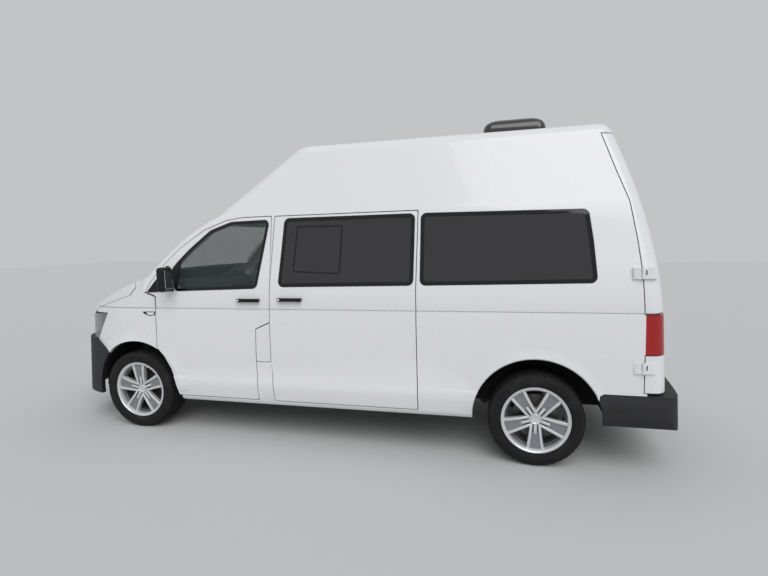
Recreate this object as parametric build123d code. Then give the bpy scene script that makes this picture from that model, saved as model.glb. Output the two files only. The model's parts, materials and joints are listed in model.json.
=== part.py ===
from build123d import *
import math
import os

# A long-wheelbase, high-roof panel van with side windows in its load space.
# +X points forward, +Y to the van's left, +Z up. The origin is on the ground,
# half-way along the van and on its centre plane. All lengths are in millimetres.
# The body is drawn level and then turned nose down, as the van stands. What hangs
# on the wheels is drawn where it stands.

# Overall sizes
WHEELBASE = 3400.0
FRONT_AXLE_X = 1744.0
REAR_AXLE_X = FRONT_AXLE_X - WHEELBASE
AXLE_Z = 343.0
WHEEL_Y = 814.0
RAKE_DEG = 0.9
RAKE_PIVOT_Z = 330.0

# Walls and gaps
WALL = 50.0
ROOF_WALL = 30.0
SHUT_GAP = 7.0
GLASS = 5.0
GLASS_STEP = 1.0
TOUCH = 0.3
WING_SKIN = 16.0

# Lower body section, sill to waist: half width and height
SILL_Z = 305.0
WAIST_Z = 1106.0
LOWER_SECTION = [
    (905, SILL_Z), (925, 330), (947, 440), (947, 505), (939, 524), (945, 800), (941, 1030), (935, WAIST_Z),
]
LOWER_HALF_WIDTH = 947.0
GROOVE = 8.0
GROOVE_DEPTH = 12.0
GROOVE_LAP = 12.0
UPPER_INSET = 10.0
WING_END_X = 1511.0

# Nose in plan: three tangent arcs a side, from the straight side to the centre
NOSE_START_X = 1790.0
NOSE_RADII = (1200.0, 434.0)
NOSE_TURNS = (22.0, 50.0)
NOSE_LEAN = 55.0
FRONT_BUMPER_STEP = 52.0
REAR_BUMPER_STEP = 80.0

# Tail in plan: corner radius and turn, with the corner centre at two heights
TAIL_R = 110.0
TAIL_TURN = 83.0
TAIL_X_LOW = -2410.0
TAIL_X_WAIST = -2381.0

# Cabin outlines: z, half width, front corner x, tail corner x
CABIN = [
    (WAIST_Z + GROOVE, 933, 1722, TAIL_X_WAIST),
    (1290, 921, 1576, -2365),
    (1496, 880, 1390, -2338),
    (1690, 840, 1168, -2300),
    (1885, 797, 835, -2250),
]
CABIN_CORNER_R = 180.0
CABIN_TURN = 66.0

# High roof outlines: z, half width, front corner x, tail corner x
HIGH_ROOF = [(1885, 794, 800, -2252), (2110, 725, 512, -2186), (2330, 657, 228, -2110), (2560, 586, -62, -2025)]
ROOF_CORNER_R = 250.0
ROOF_TOP_Z = 2472.0
ROOF_CROWN_R = 9000.0
ROOF_EDGE_R = 110.0

# Bonnet surface along the centre line: x, z
BONNET_LINE = [(1400, 1540), (1844, 1387), (2100, 1270), (2300, 1145), (2450, 1020), (2640, 820)]
BONNET_CROWN_R = 4100.0

# Wheel arches
FRONT_ARCH_R = 443.0
REAR_ARCH_R = 456.0
LINER_GAP = 10.0
LINER = 8.0

# Seam outlines in side view: x, z. Panels stop half a SHUT_GAP inside them.
CAB_DOOR = [
    (555, 345), (558, 672), (551, 946), (423, 1004), (418, 1290), (430, 1868), (700, 1866), (850, 1846),
    (1060, 1770), (1290, 1620), (1440, 1482), (1560, 1340), (1610, 1247), (1511, 1217), (1509, 918), (1516, 759),
    (1450, 685), (1390, 580), (1355, 471), (1329, 345),
]
SLIDING_DOOR = [
    (409, 345), (424, 676), (423, 1004), (418, 1290), (400, 1866), (-798, 1868), (-790, 1267), (-791, 968),
    (-793, 345),
]
FUEL_FLAP = [(423, 1004), (551, 946), (557.9, 674), (424, 674)]
TAIL_SEAM = [
    (-2361, 562), (-2361, 829), (-2356, 1115), (-2343, 1383), (-2318, 1604), (-2273, 1880), (-2201, 2084),
    (-2108, 2372), (-2800, 2372), (-2800, 562),
]
CAB_WINDOW = [
    (535, 1278), (443, 1840), (804, 1832), (997, 1766), (1189, 1614), (1302, 1505), (1360, 1437), (1315, 1256),
]
DOOR_WINDOW = [(345, 1290), (-770, 1301), (-775, 1845), (310, 1845)]
REAR_SIDE_WINDOW = [(-820, 1301), (-2063, 1316), (-2039, 1611), (-2009, 1830), (-820, 1845)]
BONNET_SEAM = [(1640, 1252), (1833, 1199), (2136, 1111), (2228, 1069), (2300, 1012), (2350, 988), (2800, 988)]
NOSE_ZONE = [(WING_END_X, 1100), (2800, 1100), (2800, 1600), (1700, 1600), (1640, 1252), (WING_END_X, 1210)]
HEADLAMP_REAR = [(2047, 1052), (2211, 811)]
BUMPER_LINE = [(2035, 300), (2050, 704), (2222, 810)]
REAR_BUMPER_LINE = [(-2035, 322), (-2084, 527)]
OUTLINE_R = 14.0
MIRROR_SAIL = [(1343, 1258), (1592, 1246), (1404, 1474), (1373, 1466)]
MIRROR_AT = (1322.0, 1030.0, 1366.0)
MIRROR_SIZE = (130.0, 76.0, 204.0)

# Window and lamp outlines in end view: y, z
REAR_WINDOW = [(110, 1330), (700, 1330), (625, 1800), (110, 1815)]
WINDSCREEN = [(-793, 1402), (793, 1402), (690, 1842), (-690, 1842)]
HEADLAMP_INNER = [(560, 960), (575, 850), (650, 811), (1000, 811), (1000, 1052), (880, 1052), (700, 1005)]
GRILLE = [(0, 811.3), (648.9, 811.3), (574.4, 850), (559.4, 960.2), (634, 984.3), (0, 984.3)]
GRILLE_BARS = (862, 892, 922, 952)
COWL_TOP_Z = 1400.0
COWL_END_X = 1693.0
COWL_DEPTH = 45.0
WINDOW_R = 45.0
WINDOW_LEDGE = 20.0

# Hinges on the level body
CAB_DOOR_PIN = (1545.0, 906.0)
CAB_HINGE_ROOM = 51.0
CAB_HINGE_Z = (855.0, 1065.0)
REAR_DOOR_HINGES = ((-2352.0, 955.0, 738.0), (-2341.0, 931.0, 1383.0))
REAR_HINGE_DEPTHS = (38.0, 75.0)
REAR_HINGE_HALF = 38.0
REAR_HINGE_DROP = 1.5
LAMP_SWING_R = 190.0
LAMP_Z = (829.0, 1100.0)
LAMP_DEPTH = 30.0
BONNET_PIN = (1686.0, 1345.0)
BONNET_HINGE_Y = 866.0
FLAP_PIN = (428.5, 939.5)
STEER_LOW = (1744.0, 742.0, 215.0)
STEER_TOP = (1740.0, 667.0, 771.0)
BALL_R = 16.0
BALL_HALF = 11.0

# Cab floor and load floor
FLOOR_Z = 550.0
FLOOR = 30.0
FLOOR_INSET = 58.0
LOAD_MAT = 8.0
LOAD_MAT_X = (-2390.0, 385.0)
LOAD_MAT_GAP = 12.0

# Wheels: sizes about the wheel's own axle, w from its middle plane outwards
TYRE_W = 255.0
BEAD_R = 229.0
FLANGE_R = 246.0
RIM_W = 226.0
RIM_WALL = 9.0
SPOKES = 5
HUB_R = 72.0
DISC_R = 165.0
DISC_W = -10.0


def polygon(points, grow=0.0, radius=0.0):
    """A closed outline, grown or shrunk by grow, with its corners rounded."""
    face = make_face(Polyline(*points, close=True))
    if grow:
        face = offset(face, amount=grow, kind=Kind.INTERSECTION)
    if radius:
        face = fillet(face.vertices(), radius)
    return face


def side_prism(face, y0, y1):
    """Pushes an outline drawn in side view (x, z) from y0 to y1."""
    plane = Plane(origin=(0, y0, 0), x_dir=(1, 0, 0), z_dir=(0, -1, 0))
    return extrude(plane * face, amount=abs(y1 - y0), dir=(0, 1 if y1 > y0 else -1, 0))


def end_prism(face, x0, x1):
    """Pushes an outline drawn in end view (y, z) from x0 to x1."""
    plane = Plane(origin=(x0, 0, 0), x_dir=(0, 1, 0), z_dir=(1, 0, 0))
    return extrude(plane * face, amount=abs(x1 - x0), dir=(1 if x1 > x0 else -1, 0, 0))


def block(x0, x1, y0, y1, z0, z1):
    return Pos((x0 + x1) / 2, (y0 + y1) / 2, (z0 + z1) / 2) * Box(abs(x1 - x0), abs(y1 - y0), abs(z1 - z0))


def tube_along(start, end, radius):
    """A round bar between two points."""
    start, end = Vector(*start), Vector(*end)
    plane = Plane(origin=start, z_dir=end - start)
    return plane * Cylinder(radius, (end - start).length, align=(Align.CENTER, Align.CENTER, Align.MIN))


def cross_cylinder(x, z, radius, y0, y1):
    return Pos(x, (y0 + y1) / 2, z) * Rot(90, 0, 0) * Cylinder(radius, abs(y1 - y0))


def mirrored(shape):
    return mirror(shape, about=Plane.XZ)


def on_side(shape, side):
    return shape if side > 0 else mirrored(shape)


def level_point(x, z):
    """A point of the standing van, in the level body's x and z."""
    turn = math.radians(RAKE_DEG)
    dx, dz = x, z - RAKE_PIVOT_Z
    return (dx * math.cos(turn) - dz * math.sin(turn), dx * math.sin(turn) + dz * math.cos(turn) + RAKE_PIVOT_Z)


def raked(shape):
    """Turns a shape of the level body to the tilt at which the van stands."""
    return Pos(0, 0, RAKE_PIVOT_Z) * Rot(0, RAKE_DEG, 0) * Pos(0, 0, -RAKE_PIVOT_Z) * shape


def save(name, *shapes, level=True):
    """Writes the solids of one named piece."""
    solids = []
    for shape in shapes:
        solids.extend(s for s in shape.solids() if s.volume > 500)
    if level:
        solids = [raked(s) for s in solids]
    export_step(solids[0] if len(solids) == 1 else Compound(children=solids), "parts/" + name + ".step")


def tail_edges(half_width, corner_x, inset):
    """Tail of a plan outline: left corner arc, bowed rear arc and right corner arc."""
    phi = 90.0 - TAIL_TURN
    centre_y = half_width - TAIL_R
    bow_r = TAIL_R + centre_y / math.sin(math.radians(phi))
    bow_x = corner_x + (bow_r - TAIL_R) * math.cos(math.radians(phi))
    left = CenterArc((corner_x, centre_y), TAIL_R - inset, 90, 90 - phi)
    rear = CenterArc((bow_x, 0), bow_r - inset, 180 - phi, 2 * phi)
    right = CenterArc((corner_x, -centre_y), TAIL_R - inset, 180 + phi, 90 - phi)
    return [left, rear, right]


def lower_outline(z, inset, nose_shift, tail_x):
    """Plan outline of the lower body: straight sides, three-arc nose, bowed tail."""
    r1, r2 = NOSE_RADII
    a1 = 90.0 - NOSE_TURNS[0]
    a2 = a1 - NOSE_TURNS[1]
    x0 = NOSE_START_X + nose_shift
    c1 = (x0, LOWER_HALF_WIDTH - r1)
    c2 = (c1[0] + (r1 - r2) * math.cos(math.radians(a1)), c1[1] + (r1 - r2) * math.sin(math.radians(a1)))
    r3 = r2 + c2[1] / math.sin(math.radians(a2))
    c3_x = c2[0] + (r2 - r3) * math.cos(math.radians(a2))
    y = LOWER_HALF_WIDTH - inset
    edges = [
        CenterArc((c3_x, 0), r3 - inset, -a2, 2 * a2),
        CenterArc(c2, r2 - inset, a2, a1 - a2),
        CenterArc(c1, r1 - inset, a1, 90 - a1),
        Line((x0, y), (tail_x, y)),
        *tail_edges(LOWER_HALF_WIDTH, tail_x, inset),
        Line((tail_x, -y), (x0, -y)),
        CenterArc((c1[0], -c1[1]), r1 - inset, 270, 90 - a1),
        CenterArc((c2[0], -c2[1]), r2 - inset, 360 - a1, a1 - a2),
    ]
    return Pos(0, 0, z) * make_face(edges)


def upper_outline(z, half_width, front_x, tail_x, corner_r, inset):
    """Plan outline of cabin or high roof: bowed front, round corners, bowed tail."""
    phi = 90.0 - CABIN_TURN
    centre_y = half_width - corner_r
    bow_r = corner_r + centre_y / math.sin(math.radians(phi))
    bow_x = front_x - (bow_r - corner_r) * math.cos(math.radians(phi))
    y = half_width - inset
    edges = [
        CenterArc((bow_x, 0), bow_r - inset, -phi, 2 * phi),
        CenterArc((front_x, centre_y), corner_r - inset, phi, 90 - phi),
        Line((front_x, y), (tail_x, y)),
        *tail_edges(half_width, tail_x, inset),
        Line((tail_x, -y), (front_x, -y)),
        CenterArc((front_x, -centre_y), corner_r - inset, 270, 90 - phi),
    ]
    return Pos(0, 0, z) * make_face(edges)


def lean_block(inset, z0, z1, nose_step=0.0, tail_step=0.0):
    """Lower body in plan, leaning in at nose and tail from the sill to the waist."""
    faces = []
    for z in (z0, z1):
        share = (z - SILL_Z) / (WAIST_Z - SILL_Z)
        tail = TAIL_X_LOW + share * (TAIL_X_WAIST - TAIL_X_LOW) - tail_step
        faces.append(lower_outline(z, inset, nose_step - share * NOSE_LEAN, tail))
    return loft(faces, ruled=True)


def section_prism(inset):
    """The lower body's sides along its whole length; a cut-in one is open below."""
    bottom = SILL_Z if inset == 0 else 100.0
    half = [(y - inset, bottom if z == SILL_Z else z) for y, z in LOWER_SECTION]
    return end_prism(polygon(half + [(-y, z) for y, z in reversed(half)]), -2900, 2900), bottom


def crown_cut(x0, x1, top, radius, wide, lid):
    """Everything above a crowned top that runs straight from x0 to x1."""
    sag = radius - math.sqrt(radius ** 2 - wide ** 2)
    edges = [
        ThreePointArc((-wide, top - sag), (0, top), (wide, top - sag)),
        Line((wide, top - sag), (wide, lid)),
        Line((wide, lid), (-wide, lid)),
        Line((-wide, lid), (-wide, top - sag)),
    ]
    return end_prism(make_face(edges), x0, x1)


def bonnet_cut(drop):
    """Everything above the crowned bonnet surface, from the cowl to the nose."""
    wide, lid = 1100.0, 2100.0
    sag = BONNET_CROWN_R - math.sqrt(BONNET_CROWN_R ** 2 - wide ** 2)
    faces = []
    for x, z in BONNET_LINE:
        z = z - drop
        edges = [
            ThreePointArc((-wide, z - sag), (0, z), (wide, z - sag)),
            Line((wide, z - sag), (wide, lid)),
            Line((wide, lid), (-wide, lid)),
            Line((-wide, lid), (-wide, z - sag)),
        ]
        faces.append(Plane(origin=(x, 0, 0), x_dir=(0, 1, 0), z_dir=(1, 0, 0)) * make_face(edges))
    return loft(faces)


def lower_skin(inset):
    """Lower body with the wings and bonnet, its outside cut inwards by inset."""
    lap = GROOVE_LAP if inset else 0.0
    sides, bottom = section_prism(inset)
    body = sides & lean_block(inset, bottom, WAIST_Z - lap)
    neck = lean_block(inset + UPPER_INSET + GROOVE_DEPTH, WAIST_Z - 40, WAIST_Z + GROOVE + 30)
    nose = lean_block(inset + UPPER_INSET, WAIST_Z + GROOVE + lap, 1500)
    nose = nose & side_prism(polygon(NOSE_ZONE), -1000, 1000)
    above = bonnet_cut(inset)
    return (body + neck - above) + (nose - above)


def cabin_skin(inset):
    return loft([upper_outline(z, w, fx, tx, CABIN_CORNER_R, inset) for z, w, fx, tx in CABIN])


def roof_skin(inset):
    shape = loft([upper_outline(z, w, fx, tx, ROOF_CORNER_R, inset) for z, w, fx, tx in HIGH_ROOF])
    shape = shape - crown_cut(-3000, 3000, ROOF_TOP_Z - inset, ROOF_CROWN_R, 1200, 2900)
    top_edges = [e for e in shape.edges() if e.center().Z > ROOF_TOP_Z - 130 and e.length > 40]
    return fillet(top_edges, ROOF_EDGE_R - inset)


def bumper_skin(inset, nose_step, tail_step):
    sides, bottom = section_prism(inset)
    return sides & lean_block(inset, bottom, WAIST_Z, nose_step, tail_step)


def pin_line(z):
    """Place on the rear door's pin line at height z, level body."""
    (x0, y0, z0), (x1, y1, z1) = REAR_DOOR_HINGES
    share = (z - z0) / (z1 - z0)
    return Vector(x0 + share * (x1 - x0), y0 + share * (y1 - y0), z)


def pin_cylinder(radius, z0, z1):
    return tube_along(pin_line(z0), pin_line(z1), radius)


lower = lower_skin(0.0)
lower_in = lower_skin(WALL)
lower_thin = lower_skin(WING_SKIN)
cabin = cabin_skin(0.0)
cabin_in = cabin_skin(WALL)
shell = (lower + cabin) - (lower_in + cabin_in)
left_shell = shell & block(-2900, 2900, 250, 1100, 0, 2000)
roof_shell = roof_skin(0.0) - roof_skin(ROOF_WALL)
glass_in = cabin_skin(GLASS_STEP + GLASS)
glass_skin = cabin_skin(GLASS_STEP) - glass_in
rebate_skin = cabin_skin(-5.0) - glass_in

front_arch_x, front_arch_z = level_point(FRONT_AXLE_X, AXLE_Z)
rear_arch_x, rear_arch_z = level_point(REAR_AXLE_X, AXLE_Z)
front_arches = cross_cylinder(front_arch_x, front_arch_z, FRONT_ARCH_R, -1100, 1100)
rear_arches = cross_cylinder(rear_arch_x, rear_arch_z, REAR_ARCH_R, -1100, 1100)

bumper_points = BUMPER_LINE + [(2260, 811), (2900, 811), (2900, 250), (2035, 250)]
rear_bumper_points = REAR_BUMPER_LINE + [(-2110, 543), (-2900, 543), (-2900, 250), (-2035, 250)]


def side_zone(points, side, grow, radius=OUTLINE_R):
    return side_prism(polygon(points, grow, radius), side * 250, side * 1100)


def through_zone(points, grow=0.0):
    return side_prism(polygon(points, grow), -1100, 1100)


def glazed(panel, points, side):
    """Cuts a window opening and its rebate in a side wall; returns the wall and the glass."""
    face = polygon(points, 0, WINDOW_R)
    y0, y1 = side * 300, side * 1100
    opening = side_prism(offset(face, amount=-WINDOW_LEDGE), y0, y1)
    rebate = side_prism(offset(face, amount=2), y0, y1) & rebate_skin
    return panel - opening - rebate, side_prism(face, y0, y1) & glass_skin


def end_glazed(panel, points, x0, x1):
    """The same for a window in a front or rear wall."""
    face = polygon(points, 0, WINDOW_R)
    opening = end_prism(offset(face, amount=-WINDOW_LEDGE), x0, x1)
    rebate = end_prism(offset(face, amount=2), x0, x1) & rebate_skin
    return panel - opening - rebate, end_prism(face, x0, x1) & glass_skin


def handle(x0, x1, z, surface_y):
    """Bow handle on two feet, standing off a left side panel."""
    bar = block(x0, x1, surface_y + 22, surface_y + 36, z - 14, z + 14)
    feet = block(x0, x0 + 30, surface_y - 6, surface_y + 24, z - 12, z + 12)
    feet = feet + block(x1 - 30, x1, surface_y - 6, surface_y + 24, z - 12, z + 12)
    return bar + feet


def cab_hinge_arm(z):
    """Goose-neck on the door: eye round the pin, in and back to the door's inner face."""
    x, y = CAB_DOOR_PIN
    neck = block(x - 9, x + 9, y - 56, y, z - 9, z + 9) + block(x - 78, x + 9, y - 56, y - 44, z - 9, z + 9)
    neck = neck + block(x - 78, x - 55, y - 56, y - 5, z - 9, z + 9)
    eye = Pos(x, y, z) * Cylinder(12, 18)
    return neck + eye - Pos(x, y, z) * Cylinder(6 + TOUCH, 30)


def make_cab_door():
    """Left cab door with its window opening, hinge arms and handle, and the window."""
    door, glass = glazed(left_shell & side_zone(CAB_DOOR, 1, -SHUT_GAP / 2), CAB_WINDOW, 1)
    x, y = CAB_DOOR_PIN
    door = door - Pos(x, y, 954) * Cylinder(CAB_HINGE_ROOM, 518)
    for z in CAB_HINGE_Z:
        door = door + cab_hinge_arm(z)
    return door + handle(506, 703, 1184, 929), glass


def make_mirror():
    """Left door mirror: sail plate on the door, arm and housing."""
    outside = cabin_skin(-TOUCH)
    sail = (cabin_skin(-7.0) - outside) & side_zone(MIRROR_SAIL, 1, 0, 6)
    x, y, z = MIRROR_AT
    wide, deep, high = MIRROR_SIZE
    housing = Pos(x, y, z) * Box(deep, wide, high)
    housing = fillet(housing.edges(), 26)
    arm = block(x + 8, x + deep / 2, 910, y - wide / 2 + 20, z - high / 2 + 2, z - high / 2 + 38) - outside
    return sail + (housing + arm)


def make_sliding_door():
    """Left sliding door, shut, on its upper and lower runners, and its window."""
    door, glass = glazed(left_shell & side_zone(SLIDING_DOOR, 1, -SHUT_GAP / 2), DOOR_WINDOW, 1)
    for x in (300, -720):
        door = door + block(x - 40, x + 40, 867.2, 895, SILL_Z + 36.5 + TOUCH, 372)
    return door + handle(134, 336, 1191, 929), glass


def rear_hinge(z, depth, on_door):
    """One leaf of a rear door hinge with its half of the knuckle, on the left corner."""
    half, drop = REAR_HINGE_HALF, REAR_HINGE_DROP
    if on_door:
        outline = [(-9.5, -drop), (-62, -drop), (-96, -26), (-96, -depth), (-9.5, -depth)]
        tongue = block(-20, 0, -11, -drop, 0, half)
        low, high = z, z + half
    else:
        outline = [(4, -drop), (48, -drop), (60, -8), (60, -depth), (4, -depth)]
        tongue = block(0, 20, -11, -drop, -half, -1)
        low, high = z - half, z - 1
    leaf = Pos(0, 0, -half) * extrude(polygon(outline), amount=2 * half, dir=(0, 0, 1)) + tongue
    along = Plane(origin=pin_line(z), x_dir=(1, 0, 0), z_dir=pin_line(z + 1) - pin_line(z))
    return along * leaf + pin_cylinder(11.0, low, high)


def hinged(panel, on_door):
    """Adds the rear hinges' leaves to a panel, cut clear of the other leaf's knuckle."""
    for (_, _, z), depth in zip(REAR_DOOR_HINGES, REAR_HINGE_DEPTHS):
        panel = panel + rear_hinge(z, depth, on_door)
        panel = panel - (pin_cylinder(13.0, z - 60, z - 0.5) if on_door else pin_cylinder(13.0, z - 0.5, z + 60))
    return panel


def make_rear_door():
    """Left rear wing door, wrapped round the corner and cut clear of the lamp pillar."""
    zone = block(-2800, -2000, SHUT_GAP / 2, 1100, 500, 2500)
    swing = pin_cylinder(LAMP_SWING_R + SHUT_GAP, LAMP_Z[0] - 80, LAMP_Z[1] + 80)
    swing = swing & block(-2700, -2200, 500, 1100, LAMP_Z[0] - SHUT_GAP, LAMP_Z[1] + SHUT_GAP)
    tail = through_zone(TAIL_SEAM, -SHUT_GAP / 2) & zone
    door = (shell & tail) + (roof_shell & tail) - swing
    door, glass = end_glazed(door, REAR_WINDOW, -2800, -2100)
    return hinged(door, True), glass


def make_tail_lamp():
    """Left tail lamp and the pillar stub that it sits on."""
    swing = pin_cylinder(LAMP_SWING_R, LAMP_Z[0] - 80, LAMP_Z[1] + 80)
    corner = left_shell & swing & block(-2700, -2350, 500, 1100, *LAMP_Z)
    pocket = block(-2700, -2362, 500, 1100, 700, 1200) - bumper_skin(LAMP_DEPTH, 0, 0)
    return corner & pocket, corner - pocket


def make_bonnet():
    """Bonnet lid with the eyes of its two hinges at its rear corners."""
    zone = through_zone(BONNET_SEAM + [(2800, 1700), (1640, 1700)], -SHUT_GAP / 2)
    lid = (shell & zone) - cabin_skin(-COWL_DEPTH - SHUT_GAP) - headlamp_zone(SHUT_GAP)
    lid = lid - block(1500, COWL_END_X + SHUT_GAP, -1000, 1000, 1100, 1600)
    x, z = BONNET_PIN
    for y in (BONNET_HINGE_Y, -BONNET_HINGE_Y):
        lug = cross_cylinder(x, z, 6, y - 10, y + 10) + tube_along((x, y, z), (x + 80, y, z - 32), 6)
        lid = lid + lug - cross_cylinder(x, z, 3 + TOUCH, y - 30, y + 30)
    return lid


def make_cowl():
    """Cowl strip below the windscreen, with the slots and pins of the bonnet's hinges."""
    zone = through_zone(BONNET_SEAM[:4] + [(2300, COWL_TOP_Z), (1652, COWL_TOP_Z)])
    strip = shell & zone & (cabin_skin(-COWL_DEPTH) + block(1500, COWL_END_X, -1000, 1000, 1100, 1600))
    x, z = BONNET_PIN
    for y in (BONNET_HINGE_Y, -BONNET_HINGE_Y):
        strip = strip - block(x - 9, x + 70, y - 11, y + 11, z - 36, z + 30) + cross_cylinder(x, z, 3, y - 20, y + 20)
    return strip


def headlamp_zone(grow):
    side = polygon([(2900, 700), HEADLAMP_REAR[1], HEADLAMP_REAR[0], (2900, 1060)], grow)
    left = side_prism(side, 300, 1100) & end_prism(polygon(HEADLAMP_INNER, grow), 1900, 2900)
    return left + mirrored(left)


def bumper(nose, tail, zone, thick, x0, x1, top):
    """Bumper skin with a closed shelf along its top."""
    outside = bumper_skin(0.0, nose, tail)
    skin = outside - bumper_skin(thick, nose, tail)
    shelf = (outside - lower_in) & block(x0, x1, -1100, 1100, top - 30, top)
    return (skin + shelf) & zone


def make_floor():
    """Floor plate with its load mat, sills, rails, cross members, wheel tubs and liners, and firewall."""
    under = FLOOR_Z - FLOOR
    plate = lean_block(FLOOR_INSET, under, FLOOR_Z) & block(-2900, WING_END_X, -1000, 1000, 400, 700)
    for side in (1, -1):
        plate = plate - block(405, WING_END_X + 1, *sorted((side * 881, side * 1000)), 400, 700)
    sill = lean_block(0, 543 + TOUCH, 558.5) & block(-2900, -2400, -700, 700, 500, 600)
    floor = plate + sill
    for side in (1, -1):
        floor = floor + block(-1215, 1290, *sorted((side * 790, side * 866.6)), 320, under)
        floor = floor + block(-2440, 1500, *sorted((side * 380, side * 460)), 400, under)
        floor = floor + block(1400, 2440, *sorted((side * 380, side * 460)), 470, 600)
    for x in (1180, 380, -420, -1180):
        floor = floor + block(x - 40, x + 40, -790, 790, 430, under)
    floor = floor + block(-2440, -2370, -700, 700, 380, under)
    floor = floor + block(WING_END_X - 12, WING_END_X, -840, 840, under, 1160)
    nose_room = lean_block(WALL + 12, 300, 1100)
    mat = lean_block(FLOOR_INSET + LOAD_MAT_GAP, FLOOR_Z, FLOOR_Z + LOAD_MAT)
    mat = mat & block(*LOAD_MAT_X, -1000, 1000, 400, 700)
    for side in (1, -1):
        tub_in = REAR_ARCH_R + LINER_GAP
        clear_r = tub_in + LINER + LOAD_MAT
        mat = mat - cross_cylinder(rear_arch_x, rear_arch_z, clear_r, side * (640 - LINER - LOAD_MAT), side * 1000)
        well = cross_cylinder(rear_arch_x, rear_arch_z, tub_in, side * 640, side * 1000)
        tub = cross_cylinder(rear_arch_x, rear_arch_z, tub_in + LINER, side * (640 - LINER), side * 880)
        floor = floor + (tub & block(-2300, -1000, -1000, 1000, SILL_Z + 60, 1000)) - well
        floor = floor - block(rear_arch_x - 110, rear_arch_x + 150, *sorted((side * 620, side * 650)), 300, 519)
        tub_in = FRONT_ARCH_R + LINER_GAP
        well = cross_cylinder(front_arch_x, front_arch_z, tub_in, side * 500, side * 1000)
        tub = cross_cylinder(front_arch_x, front_arch_z, tub_in + LINER, side * 500, side * 868)
        floor = floor + (tub & nose_room & block(1200, 2200, -1000, 1000, front_arch_z - 10, 1000)) - well
    return floor + mat


def make_hinge_pillar():
    """Left hinge pillar of the cab: post on the wheel liner, door pins, and its foot under the screen pillar."""
    x, y = CAB_DOOR_PIN
    post = block(x + 16, x + 56, 790, 905, 760, 1200)
    post = post - cross_cylinder(front_arch_x, front_arch_z, FRONT_ARCH_R + LINER_GAP + LINER + TOUCH, 700, 1000)
    post = post + block(x + 16, x + 93, 790, 832, 1150, 1330) + block(x + 70, x + 93, 790, 880, 1258, 1330)
    for z in CAB_HINGE_Z:
        ears = block(x - 8, x + 20, y - 12, y + 8, z - 24, z - 10) + block(x - 8, x + 20, y - 12, y + 8, z + 10, z + 24)
        post = post + ears + Pos(x, y, z) * Cylinder(6, 40)
    return post


def make_b_post():
    """Left B-post behind the meeting edges of the cab door and the sliding door."""
    low = bumper_skin(58, 0, 0) - bumper_skin(95, 0, 0)
    post = (low & block(395, 475, 700, 1000, FLOOR_Z + TOUCH, 1082)) + block(440, 475, 850, 900, FLOOR_Z + TOUCH, 980)
    neck = lean_block(78, 1070, 1130) - lean_block(107, 1060, 1140)
    post = post + (neck & block(395, 475, 700, 1000, 1070, 1130))
    upper = cabin_skin(58) - cabin_skin(95)
    cap = (cabin - cabin_skin(95)) & block(421, 475, 600, 1000, 1873, 1885)
    return post + (upper & block(395, 475, 600, 1000, 1122, 1885)) + cap


def make_dashboard():
    """Dashboard with the steering column on the right."""
    profile = [
        (1250, 1010), (1275, 1225), (1400, 1270), (1620, 1282), (1620, 1190), (1498.7, 1185), (1498.7, 800), (1340, 810),
    ]
    body = side_prism(polygon(profile, 0, 12), -845, 845)
    for side in (1, -1):
        body = body - block(1515, 1700, *sorted((side * 783, side * 900)), 700, 1400)
    column = tube_along((1400, -430, 1096.4), (1160, -430, 1224), 34)
    return body + column


def make_steering_wheel():
    """Rim, hub and three spokes on the column's axis."""
    rim = Torus(185, 15)
    hub = Pos(0, 0, -24.6) * Cylinder(62, 46.6, align=(Align.CENTER, Align.CENTER, Align.MIN))
    wheel = rim + hub
    for angle in (0, 180, 270):
        wheel = wheel + Rot(0, 0, angle) * Pos(110, 0, -6) * Box(150, 34, 14)
    return steering_plane() * wheel


def steering_plane():
    return Plane(origin=(1138, -430, 1235.7), x_dir=(0, -1, 0), z_dir=(-240, 0, 127.6))


SEATS = [(-680, -190), (-130, 330), (340, 800)]


def make_seats():
    """Cushion, back and head rest of the driver's seat, on the right, and of two passenger places."""
    cushion = polygon([(620, 802), (1120, 812), (1135, 905), (1090, 940), (720, 900), (620, 900)], 0, 25)
    back = polygon([(598, 900.3), (716, 900.3), (618, 1470), (575, 1500), (500, 1490)], 0, 25)
    rest = polygon([(520, 1540), (590, 1535), (575, 1690), (505, 1690)], 0, 25)
    pads = []
    for y0, y1 in SEATS:
        middle = (y0 + y1) / 2
        pads.append(side_prism(cushion, y0, y1))
        pads.append(side_prism(back, y0, y1))
        pads.append(side_prism(rest, middle - 130, middle + 130))
    return pads


def make_seat_bases(pads):
    """Steel seat boxes and the posts of the head rests."""
    bases = block(640, 1060, -660, -210, FLOOR_Z, 801.7) + block(640, 1060, -110, 780, FLOOR_Z, 801.7)
    posts = []
    for i, (y0, y1) in enumerate(SEATS):
        for y in ((y0 + y1) / 2 - 60, (y0 + y1) / 2 + 60):
            posts.append(tube_along((546, y, 1480), (550, y, 1550), 6) - pads[3 * i + 1] - pads[3 * i + 2])
    return [bases] + posts


def make_engine():
    return fillet(block(1700, 2260, -379.7, 379.7, 430, 960).edges().filter_by(Axis.X), 30)


def make_tank():
    return fillet(block(-340, 330, 470, 780, 330, 519.7).edges().filter_by(Axis.X), 35)


def make_exhaust():
    """Pipe from the engine over the subframe to the silencer."""
    route = [(1699, -250, 470), (1560, -250, 452), (1420, -250, 452), (1330, -250, 385), (-840, -250, 385)]
    pipe = Pos(-840, -250, 385) * Sphere(22)
    for start, end in zip(route, route[1:]):
        pipe = pipe + tube_along(start, end, 22) + Pos(*end) * Sphere(22)
    silencer = fillet(block(-1215, -820, -350, -150, 330, 429.7).edges().filter_by(Axis.X), 40)
    return pipe - block(1699.7, 1800, -400, 400, 400, 600) + silencer


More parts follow.
